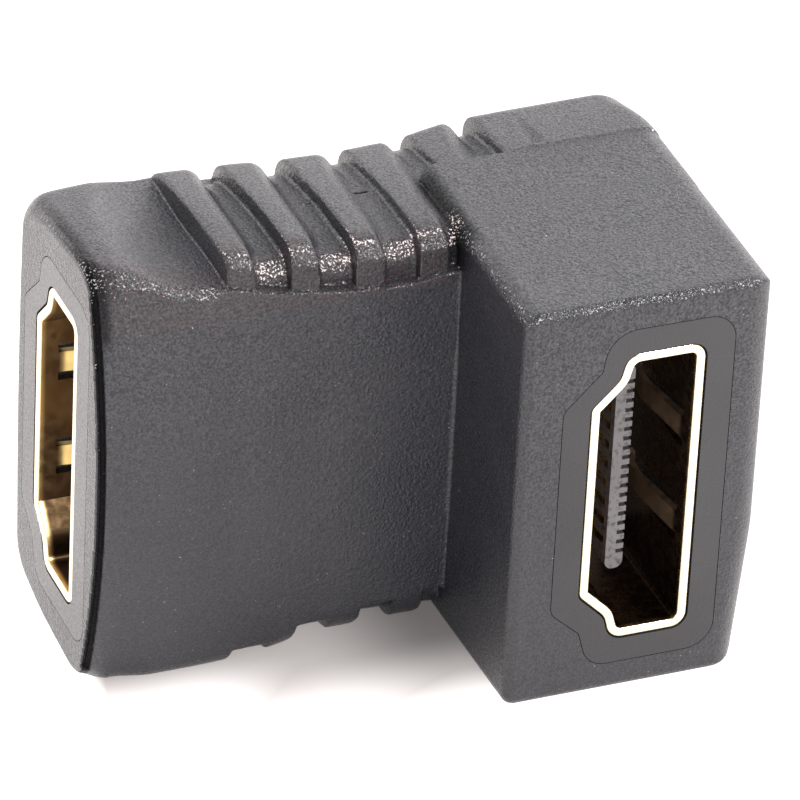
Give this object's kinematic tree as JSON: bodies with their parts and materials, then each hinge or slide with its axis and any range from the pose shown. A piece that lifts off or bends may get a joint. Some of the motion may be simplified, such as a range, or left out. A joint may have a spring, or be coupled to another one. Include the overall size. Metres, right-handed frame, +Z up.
{
  "type": "right angle video adapter",
  "caption": "L-shaped video coupler with a ribbed black overmould and a gold-rimmed D-shaped socket on two faces at right angles.",
  "frame": {"origin": "middle of the foot print, at the height of the lowest point: centre of the bounding box's bottom face", "axes": "+X along the arm, from the port A face (its plug leaves towards -X) to the block; port B opens towards -Y at the +X end; +Z up, along the long side of both sockets, with their wide sides towards -Y (port A) and +X (port B)"},
  "size_m": [0.0294, 0.0182, 0.0218],
  "materials": {
    "overmould": "black soft PVC overmould, matte with a fine spark-eroded grain",
    "housing": "black glass filled PBT, smoother satin than the overmould",
    "gold_plate": "gold flash plated brass sheet, bright",
    "insulator": "pale grey glass filled LCP, satin",
    "contact": "gold plated phosphor bronze",
    "board": "green solder mask on glass epoxy"
  },
  "bodies": {
    "root": {"overmould": "overmould", "inner_housing_body": "housing", "inner_housing_cover": "housing", "circuit_board": "board", "port_a_shell": "gold_plate", "port_a_insulator": "insulator", "port_b_shell": "gold_plate", "port_b_insulator": "insulator", "port_a_contact_01": "contact", "port_a_contact_02": "contact", "port_a_contact_03": "contact", "port_a_contact_04": "contact", "port_a_contact_05": "contact", "port_a_contact_06": "contact", "port_a_contact_07": "contact", "port_a_contact_08": "contact", "port_a_contact_09": "contact", "port_a_contact_10": "contact", "port_a_contact_11": "contact", "port_a_contact_12": "contact", "port_a_contact_13": "contact", "port_a_contact_14": "contact", "port_a_contact_15": "contact", "port_a_contact_16": "contact", "port_a_contact_17": "contact", "port_a_contact_18": "contact", "port_a_contact_19": "contact", "port_b_contact_01": "contact", "port_b_contact_02": "contact", "port_b_contact_03": "contact", "port_b_contact_04": "contact", "port_b_contact_05": "contact", "port_b_contact_06": "contact", "port_b_contact_07": "contact", "port_b_contact_08": "contact", "port_b_contact_09": "contact", "port_b_contact_10": "contact", "port_b_contact_11": "contact", "port_b_contact_12": "contact", "port_b_contact_13": "contact", "port_b_contact_14": "contact", "port_b_contact_15": "contact", "port_b_contact_16": "contact", "port_b_contact_17": "contact", "port_b_contact_18": "contact", "port_b_contact_19": "contact"}
  },
  "joints": []
}
